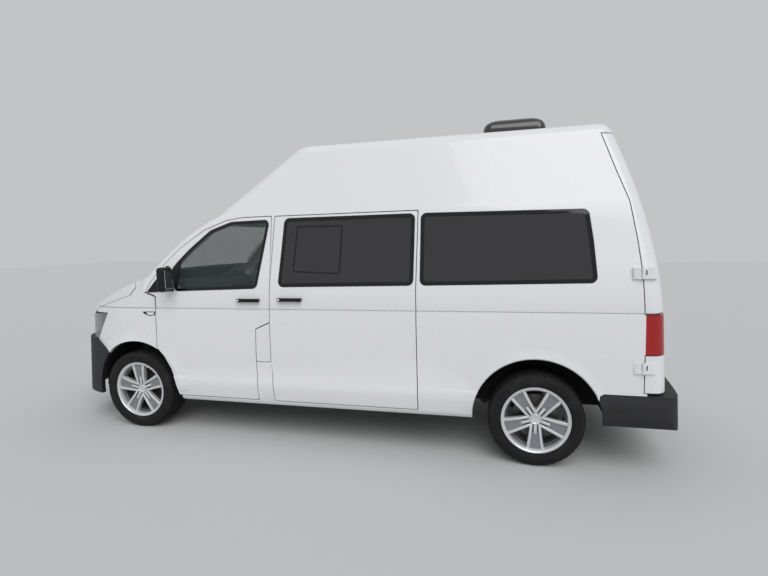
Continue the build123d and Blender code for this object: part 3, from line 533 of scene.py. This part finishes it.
def skin(node, angle=30.0):
    """A merged copy of a CAD node, smooth over its curves."""
    piece = nodes[node].copy()
    piece.data = nodes[node].data.copy()
    piece.parent = None
    for key in list(piece.keys()):
        del piece[key]
    bpy.context.scene.collection.objects.link(piece)
    edit(piece)
    everything()
    bpy.ops.mesh.remove_doubles(threshold=0.00003)
    bpy.ops.mesh.customdata_custom_splitnormals_clear()
    leave()
    smooth(piece, angle)
    return piece


def dress(node, material, angle=30.0):
    """Replaces a CAD node by its smooth copy in one finish."""
    piece = coat(skin(node, angle), material)
    return keep(piece, node + "_shell", body_of[node], (node,))


def repaint(piece, index, test):
    """Gives the faces that pass a test another of the piece's finishes."""
    for face in piece.data.polygons:
        if test(face):
            face.material_index = index


body_of = {n: b for b, names in frame["record"]["behaviour"]["bodies"].items() for n in names}


# Wheels, drawn about the Y axis with their outer side to +Y

def along_spoke(points, low, high):
    """A prism of a spoke drawn downwards from the hub: x and radius, between two offsets."""
    outline = [(x * MM, low * MM, -radius * MM) for x, radius in points]
    return prism(outline, (0.0, (high - low) * MM, 0.0))


def dished(piece, hub_drop, reach=110.0):
    """Sinks the hub end of a spoke piece towards the wheel's middle plane."""
    edit(piece, "VERT")
    pick(piece, lambda v: v.co.z > -reach * MM, "vertices")
    bpy.ops.transform.translate(value=(0.0, -hub_drop * MM, 0.0))
    leave()
    return piece


def make_spoke():
    """One spoke: flat grey band between two raised bright edges, with two slots by the hub, each a black
    piece of painted shade.
    """
    band = along_spoke([(-30, 40), (30, 40), (38, 120), (50, 218), (-50, 218), (-38, 120)], 62, 86)
    band = dished(band, 7)
    pieces = [coat(band, ALLOY_BAND)]
    for side in (1, -1):
        edge = [(19, 42), (37, 36), (47, 120), (63, 221), (41, 221), (28, 120)]
        ridge = along_spoke([(side * x, radius) for x, radius in edge], 56, 97)
        ridge = dished(outward(ridge), 9)
        pieces.append(coat(modify(ridge, "BEVEL", width=0.0035, segments=3, limit_method="ANGLE"), ALLOY))
        # Painted shade: each slot is a black piece standing in for the shade inside the opening.
        slot = along_spoke([(side * 13, 44), (side * 20, 44), (side * 21, 96), (side * 15, 96)], 79, 84.5)
        pieces.append(coat(outward(slot), SEAL_AND_SLOT_SHADE))
    bar = along_spoke([(-11, 40), (11, 40), (10, 102), (5, 108), (-5, 108), (-10, 102)], 70, 88)
    pieces.append(coat(modify(bar, "BEVEL", width=0.003, segments=2, limit_method="ANGLE"), ALLOY))
    return joined(pieces)


def make_wheel():
    """Cast wheel: barrel with flanges, five wide spokes, plain hub cap and five bolts."""
    bead, well, half = BEAD_R - 0.3, BEAD_R - 18.0, RIM_W / 2
    barrel = turned([
        (FLANGE_R - 6, half), (FLANGE_R, half - 1.5), (FLANGE_R, half - 4), (bead, 105), (bead, 70),
        (well, 55), (well, -55), (bead, -70), (bead, -105), (FLANGE_R, 4 - half), (FLANGE_R, -half),
        (bead - 9, -half), (bead - 9, -72), (well - 9, -56), (well - 9, 56), (bead - 9, 72),
        (bead - 7, 98), (bead - 3, 106), (bead + 5, 107), (bead + 9, half - 2),
    ], 96)
    coat(barrel, ALLOY, DARK_ALLOY_AND_BARREL_SHADE)
    # Painted shade: the barrel's inside, below the bead seats, takes the dark finish.
    repaint(barrel, 1, lambda f: math.hypot(f.center.x, f.center.z) < 0.2195 and f.center.y < 0.085)
    hub = turned([
        (0.1, 84), (24, 84), (31, 86), (34, 89), (37, 87), (38, 80),
        (58, 77), (70, 70), (74, 58), (74, 40), (0.1, 40),
    ], 64)
    pieces = [barrel, coat(modify(hub, "BEVEL", width=0.001, segments=2, limit_method="ANGLE"), ALLOY)]
    spoke = make_spoke()
    for turn in range(SPOKES):
        angle = turn * 2 * math.pi / SPOKES
        pieces.append(copied(spoke, Matrix.Rotation(angle, 4, "Y")))
        bpy.ops.object.select_all(action="DESELECT")
        bpy.ops.mesh.primitive_cylinder_add(vertices=6, radius=BOLT_R * MM, depth=BOLT_LENGTH * MM)
        bolt = bpy.context.object
        bolt.rotation_euler = (math.pi / 2, 0.0, 0.0)
        bolt.location = (0.0, BOLT_Y * MM, BOLT_CIRCLE_R * MM)
        settle(bolt)
        modify(bolt, "BEVEL", width=0.0015, segments=2, limit_method="ANGLE")
        bolt.data.transform(Matrix.Rotation(angle, 4, "Y"))
        pieces.append(coat(bolt, DARK_ALLOY_AND_BARREL_SHADE))
    bpy.data.objects.remove(spoke)
    return smooth(joined(pieces), 40.0)


def make_tyre():
    """Road tyre: ribbed walls, four grooves round its tread and cut shoulders."""
    half = TYRE_W / 2
    side = [
        (BEAD_R, 104.4), (FLANGE_R + 0.6, 108.4), (FLANGE_R + 4, 116), (FLANGE_R + 9, 119.5),
        (FLANGE_R + 12, 119), (FLANGE_R + 14, 122), (FLANGE_R + 28, half), (FLANGE_R + 46, half),
        (FLANGE_R + 47, half - 1.5), (FLANGE_R + 52, half - 1.5), (FLANGE_R + 53, half),
        (FLANGE_R + 60, half - 1), (TYRE_R - 12, half - 12),
        (TYRE_R - 5, half - 20), (TYRE_R - 1, half - 30),
    ]
    tread = []
    for groove in (70, 25, -25, -70):
        tread += [(TYRE_R, groove + 6), (TYRE_R - 8, groove + 4)]
        tread += [(TYRE_R - 8, groove - 4), (TYRE_R, groove - 6)]
    inner = [(BEAD_R, -88), (FLANGE_R + 26, 14 - half), (AXLE_Z - 22, 34 - half)]
    inner += [(radius, -offset) for radius, offset in reversed(inner)]
    steps = 180
    tyre = turned(side + tread + [(radius, -offset) for radius, offset in reversed(side)] + inner, steps)
    edit(tyre)

    def is_cut(face):
        radius = math.hypot(face.center.x, face.center.z)
        segment = int((math.atan2(face.center.x, face.center.z) / math.pi + 1.0) * steps / 2)
        width = abs(face.center.y)
        return radius > CUT_R * MM and CUT_Y[0] * MM < width < CUT_Y[1] * MM and segment % 3 == 0

    pick(tyre, is_cut)
    bpy.ops.mesh.extrude_region_shrink_fatten(TRANSFORM_OT_shrink_fatten={"value": -0.006})
    leave()
    return smooth(coat(tyre, TYRE), 28.0)


def make_brake():
    """Brake disc: machined faces, a bell and the gap between the faces."""
    disc = turned([
        (0.1, -24), (78, -24), (80, -23), (165, -23), (165, -14), (150, -14), (150, -7),
        (165, -7), (165, 2), (79, 2), (78, 4), (78, 36), (74, 39.5), (0.1, 39.5),
    ], 72)
    return smooth(coat(disc, IRON), 30.0)


def place_wheels():
    wheel, tyre, brake = make_wheel(), make_tyre(), make_brake()
    for axle, x in AXLES:
        turn = math.radians(FRONT_WHEEL_TURN) if axle == "front" else 0.0
        for name, side in SIDES:
            tag = axle + "_" + name
            spot = Matrix.Translation((x * MM, side * WHEEL_Y * MM, AXLE_Z * MM))
            spot = spot @ Matrix.Scale(side, 4, (0.0, 1.0, 0.0))
            for piece, new, node, slot in (
                (wheel, "alloy_", "wheel_", "wheel_alloy"),
                (tyre, "road_tyre_", "tyre_", "tyre_rubber"),
                (brake, "brake_", "disc_", "brake_iron"),
            ):
                twin = copied(piece, spot @ Matrix.Rotation(turn, 4, "Y"))
                keep(twin, new + tag, "wheel_" + tag, (node + tag,))
    for piece in (wheel, tyre, brake):
        bpy.data.objects.remove(piece)


# Body panels, glass and trim

def two_tone(node, first, second, test):
    """A node's smooth copy in one finish, with the faces that pass a test in another."""
    piece = coat(skin(node), first, second)
    repaint(piece, 1, test)
    return keep(piece, node + "_shell", body_of[node], (node,))


def rounded_band(outline, side, width, inset, corner):
    """A flat band beside the body, as wide as asked, inside an outline with rounded corners."""
    band = drawn([at(x, side * CLEAR_Y, z) for x, z in outline])
    edit(band)
    everything()
    bpy.ops.mesh.bevel(offset=corner * MM, segments=6, affect="VERTICES")
    everything()
    if inset:
        bpy.ops.mesh.inset(thickness=inset * MM, use_even_offset=True)
        bpy.ops.mesh.select_all(action="INVERT")
        bpy.ops.mesh.delete(type="FACE")
        everything()
    bpy.ops.mesh.inset(thickness=width * MM, use_even_offset=True)
    bpy.ops.mesh.delete(type="FACE")
    everything()
    bpy.ops.mesh.subdivide(number_cuts=SHEET_CUTS)
    leave()
    return band


def patch(outline, side):
    """A flat, finely divided sheet beside the body that fills an outline."""
    sheet = drawn([at(x, side * CLEAR_Y, z) for x, z in outline])
    edit(sheet)
    everything()
    bpy.ops.mesh.quads_convert_to_tris()
    bpy.ops.mesh.subdivide(number_cuts=SHEET_CUTS)
    leave()
    return sheet


def laid(sheet, node, side, lift, material, thick=SHEET_THICK, rise=None):
    """Lays a sheet on a node's side face, just off it, and gives it a thickness inwards."""
    modify(
        sheet, "SHRINKWRAP", target=nodes[node], wrap_method="PROJECT", use_project_y=True,
        use_negative_direction=side > 0, use_positive_direction=side < 0,
    )
    edit(sheet, "VERT")
    pick(sheet, lambda v: abs(v.co.y) > MISSED_Y * MM, "vertices")
    bpy.ops.mesh.delete(type="VERT")
    leave()
    sheet.data.transform(Matrix.Translation((0.0, side * lift * MM, 0.0)))
    if rise:
        for vertex in sheet.data.vertices:
            vertex.co.y += side * rise(vertex.co) * MM
    facing = side * sum(face.normal.y * face.area for face in sheet.data.polygons)
    modify(sheet, "SOLIDIFY", thickness=thick * MM, offset=-1.0 if facing > 0 else 1.0)
    return coat(outward(sheet), material)


def lock_dot(x, z):
    """Round lock barrel on a handle's front end."""
    dot = turned([(0.1, 5), (7.5, 5), (9, 3.5), (9, -2), (0.1, -2)], 24)
    dot.data.transform(Matrix.Translation(at(x, HANDLE_FACE_Y, z)))
    return smooth(coat(dot, WHITE_LENS), 40.0)


def hinge_slot(x, y, z, side):
    """Black slot in the outer face of a rear door hinge's leaf: a black slab that is painted shade for
    the pin pocket.
    """
    low, high = sorted((side * (y - SLOT_DEPTH), side * (y + 1)))
    return slab((x - SLOT_HALF, low, z - SLOT_REACH), (x + SLOT_HALF, high, z + SLOT_REACH), 1.0)


def place_door(node, side, handle):
    """A door's painted skin, with the bow handle that stands out from it in black."""
    x0, x1, z = handle
    low = at(x0 - HANDLE_ROOM[0], 0, z - HANDLE_ROOM[1])
    high = at(x1 + HANDLE_ROOM[0], 0, z + HANDLE_ROOM[1])
    beside = [side_hit(node, x, z + dz, side) for x in (x0 - 30, x1 + 30) for dz in (-30, 30)]
    handle_y = max(abs(place.y) for place in beside) + 4 * MM

    def on_handle(face):
        inside = low.x < face.center.x < high.x and low.z < face.center.z < high.z
        return inside and abs(face.center.y) > handle_y

    two_tone(node, PAINT, BLACK_PLASTIC_AND_POCKET_SHADE, on_handle)


def place_panels():
    for node in PAINTED:
        dress(node, PAINT)
    place_door("cab_door_left", 1, CAB_HANDLE)
    place_door("cab_door_right", -1, CAB_HANDLE)
    place_door("sliding_door", 1, SLIDING_HANDLE)
    sliding_dot = lock_dot(SLIDING_HANDLE[1] - DOT_INSET, SLIDING_HANDLE[2])
    keep(sliding_dot, "sliding_door_lock", "body")
    cab_dot = lock_dot(CAB_HANDLE[1] - DOT_INSET, CAB_HANDLE[2])
    keep(cab_dot, "cab_door_left_lock", body_of["cab_door_left"])
    for name, side in SIDES:
        # Painted shade: black slabs stand in for the shade in the rear hinges' pin pockets.
        hinge_slots = [coat(hinge_slot(x, y, z, side), BLACK_PLASTIC_AND_POCKET_SHADE) for x, y, z in REAR_HINGES]
        node = "rear_door_" + name
        keep(joined(hinge_slots), node + "_hinge_slots", body_of[node])
    two_tone("cowl", BLACK_PLASTIC_AND_POCKET_SHADE, PAINT, lambda face: abs(face.center.y) > COWL_PAINT_Y * MM)
    dress("grille", BLACK_PLASTIC_AND_POCKET_SHADE)
    dress("front_bumper", GREY_PLASTIC)
    dress("rear_bumper", GREY_PLASTIC)
    dress("tail_lamps", RED)
    dress("headlamps", LENS)
    dress("roof_vent", SMOKED, 50.0)


def place_glass():
    for node in ("cab_window_left", "cab_window_right", "windscreen"):
        dress(node, CLEAR)
    for node in ("side_windows", "rear_window_left", "rear_window_right"):
        dress(node, DARK)
    for name, side in SIDES:
        place_cab_trim(name, side)
        for part, outline in (("door", DOOR_WINDOW), ("rear", REAR_SIDE_WINDOW)):
            band = rounded_band(outline, side, SIDE_BORDER, 3.0, GLASS_CORNER)
            border = laid(band, "side_windows", side, BORDER_LIFT, FRIT)
            keep(border, part + "_window_border_" + name, "body")
        band = rounded_band(SLIDER_PANE, side, 9.0, 0.0, 20.0)
        pane = laid(band, "side_windows", side, 2.4, SEAL_AND_SLOT_SHADE)
        keep(pane, "slider_pane_border_" + name, "body")


def place_cab_trim(name, side):
    """Window border, black corner, side indicator and mirror glass on one side of the cab."""
    node = "cab_window_" + name
    body = body_of[node]
    band = rounded_band(CAB_WINDOW, side, CAB_BORDER, 2.0, GLASS_CORNER)
    keep(laid(band, node, side, BORDER_LIFT, FRIT), node + "_border", body)
    sail = laid(patch(SAIL, side), "cab_door_" + name, side, BORDER_LIFT, BLACK_PLASTIC_AND_POCKET_SHADE)
    keep(sail, "door_sail_" + name, body)
    corner = laid(patch(SAIL_GLASS, side), node, side, 1.8, BLACK_PLASTIC_AND_POCKET_SHADE)
    keep(corner, node + "_corner", body)
    housing = laid(patch(INDICATOR, side), "front_wings", side, 1.0, BLACK_PLASTIC_AND_POCKET_SHADE)
    keep(housing, "side_indicator_" + name, "body")
    lens = laid(patch(INDICATOR_LENS, side), "front_wings", side, 2.6, WHITE_LENS)
    keep(lens, "side_indicator_lens_" + name, "body")
    x, y, z = MIRROR_GLASS
    glass = slab((x[0], side * y[0], z[0]), (x[1], side * y[1], z[1]), 2.0)
    keep(coat(glass, MIRROR), "mirror_glass_" + name, body_of["door_mirror_" + name])


def make_lip(panel, side, x, first, last, fades):
    """A rolled lip on a panel round an arch, between two angles; it fades out where asked."""
    steps = 30
    angles = [first + (last - first) * step / steps for step in range(steps + 1)]
    outer = [arch_point(x, ARCH_LIP[1], angle) for angle in angles]
    inner = [arch_point(x, ARCH_LIP[0], angle) for angle in reversed(angles)]

    def flare(spot):
        across, above = spot.x - x * MM, spot.z - AXLE_Z * MM
        share = (ARCH_LIP[1] - math.hypot(across, above) / MM) / (ARCH_LIP[1] - ARCH_LIP[0])
        angle = math.degrees(math.atan2(above, across))
        fade = min([abs(angle - end) / LIP_FADE for end in fades] + [1.0])
        return ARCH_FLARE * max(share, 0.0) ** 1.6 * fade

    lip = laid(patch(outer + inner, side), panel, side, 0.6, PAINT, LIP_THICK, flare)
    return smooth(lip, 50.0)


def place_lips():
    """Rolled lips round the wheel arches, short of the cab doors' front gaps."""
    for name, side in SIDES:
        door, panel = "cab_door_" + name, "side_panel_" + name
        front, rear = AXLES[0][1], AXLES[1][1]
        wing_lip = make_lip("front_wings", side, front, ARCH_ENDS[0], WING_LIP_END, (WING_LIP_END,))
        keep(wing_lip, "wing_lip_" + name, body_of["front_wings"])
        door_lip = make_lip(door, side, front, DOOR_LIP_START, ARCH_ENDS[1], (DOOR_LIP_START,))
        keep(door_lip, "door_lip_" + name, body_of[door])
        rear_lip = make_lip(panel, side, rear, *ARCH_ENDS, ())
        keep(rear_lip, "rear_lip_" + name, "body")


def arch_point(x, radius, degrees):
    """A place on the level body round an axle; at() takes it back to where the axle stands."""
    turn = math.radians(degrees)
    px, pz = x + radius * math.cos(turn), AXLE_Z + radius * math.sin(turn)
    dz = pz - RAKE_PIVOT
    return (
        px * math.cos(RAKE) - dz * math.sin(RAKE),
        px * math.sin(RAKE) + dz * math.cos(RAKE) + RAKE_PIVOT,
    )


def in_arch(face):
    """Whether a face lines a wheel arch."""
    near = min(math.hypot(face.center.x - x * MM, face.center.z - AXLE_Z * MM) for _, x in AXLES)
    return near < ARCH_REACH * MM and abs(face.center.y) > TUB_Y * MM


def place_underbody():
    two_tone("floor_pan", UNDERBODY, LINER, in_arch)
    for node in ("front_suspension", "rear_suspension", "knuckle_left", "knuckle_right", "seat_bases"):
        dress(node, CHASSIS)
    dress("engine_block", ENGINE)
    dress("fuel_tank", BLACK_PLASTIC_AND_POCKET_SHADE)
    dress("exhaust", STEEL)
    dress("spare_wheel", TYRE)
    dress("dashboard", DASH_PLASTIC)
    dress("steering_wheel", BLACK_PLASTIC_AND_POCKET_SHADE)
    dress("door_mirror_left", BLACK_PLASTIC_AND_POCKET_SHADE)
    dress("door_mirror_right", BLACK_PLASTIC_AND_POCKET_SHADE)


def puffed(outline, half, cap):
    """One cushion from its side outline: its cover swells under pressure, no further than a cap."""
    piece = prism([at(x, -half, z) for x, z in outline], (0.0, 2 * half * MM, 0.0))
    modify(piece, "REMESH", mode="VOXEL", voxel_size=0.006)
    before = [v.co.copy() for v in piece.data.vertices]
    only(piece)
    cover = piece.modifiers.new("Cover", "CLOTH")
    cover.settings.use_pressure = True
    cover.settings.uniform_pressure_force = SEAT_PRESSURE
    cover.settings.effector_weights.gravity = 0.0
    for step in range(1, SEAT_FRAMES + 1):
        bpy.context.scene.frame_set(step)
    bpy.ops.object.modifier_apply(modifier=cover.name)
    bpy.context.scene.frame_set(1)
    for vertex, start in zip(piece.data.vertices, before):
        moved = vertex.co - start
        if moved.length > cap * MM:
            vertex.co = start + moved.normalized() * cap * MM
    return piece


def place_seats():
    """Cab seats: cushions, backs and head rests, made once and copied to each seat."""
    parts = []
    for outline, half, cap in SEAT_PARTS:
        parts.append(smooth(coat(puffed(outline, half, cap), CLOTH), 60.0))
    shape = joined(parts)
    for number, (low, high) in enumerate(SEATS, 1):
        seat = copied(shape, Matrix.Translation((0.0, (low + high) / 2 * MM, 0.0)))
        keep(seat, "cab_seat_%d" % number, "body", ("cab_seats",))
    bpy.data.objects.remove(shape)


# Stage: plain pale floor, soft light and the camera of the photograph

def set_stage():
    bpy.ops.object.select_all(action="DESELECT")
    bpy.ops.mesh.primitive_plane_add(size=60.0, location=(0.0, 0.0, 0.0))
    floor = bpy.context.object
    floor.name = "floor"
    floor.data.materials.append(make_floor_finish())

    world = bpy.data.worlds.new("studio")
    bpy.context.scene.world = world
    world.use_nodes = True
    tree = world.node_tree
    sky = tree.nodes["Background"]
    rays = tree.nodes.new("ShaderNodeLightPath")
    shown = tree.nodes.new("ShaderNodeMath")
    shown.operation = "MAXIMUM"
    tree.links.new(rays.outputs["Is Camera Ray"], shown.inputs[0])
    tree.links.new(rays.outputs["Is Transmission Ray"], shown.inputs[1])
    level = tree.nodes.new("ShaderNodeMapRange")
    tree.links.new(shown.outputs[0], level.inputs[0])
    level.inputs[3].default_value = SKY_LIGHT
    level.inputs[4].default_value = SKY_SHOWN
    sky.inputs["Color"].default_value = (0.96, 0.98, 1.0, 1.0)
    tree.links.new(level.outputs[0], sky.inputs["Strength"])

    light = bpy.data.lights.new("cloud_light", "SUN")
    light.energy = SUN_ENERGY
    light.angle = math.radians(50.0)
    lamp = bpy.data.objects.new("cloud_light", light)
    bpy.context.scene.collection.objects.link(lamp)
    lamp.rotation_euler = (-Vector(SUN_FROM)).to_track_quat("-Z", "Y").to_euler()


def set_camera():
    yaw, pitch, roll = CAMERA_YAW, CAMERA_PITCH, CAMERA_ROLL
    ahead = Vector((math.sin(yaw) * math.cos(pitch), -math.cos(yaw) * math.cos(pitch), math.sin(pitch)))
    right = ahead.cross(Vector((0.0, 0.0, 1.0))).normalized()
    above = right.cross(ahead)
    right, above = (
        math.cos(roll) * right + math.sin(roll) * above,
        math.cos(roll) * above - math.sin(roll) * right,
    )
    lens = bpy.data.cameras.new("camera")
    lens.lens = CAMERA_LENS
    lens.sensor_width = 36.0
    lens.sensor_fit = "HORIZONTAL"
    camera = bpy.data.objects.new("camera", lens)
    bpy.context.scene.collection.objects.link(camera)
    turn = Matrix((right, above, -ahead)).transposed().to_4x4()
    camera.matrix_world = Matrix.Translation(Vector(CAMERA_AT) * MM) @ turn
    bpy.context.scene.camera = camera


set_camera()
set_stage()
place_panels()
place_glass()
place_underbody()
place_seats()
place_lips()
place_wheels()

bpy.context.scene.view_settings.view_transform = "Standard"
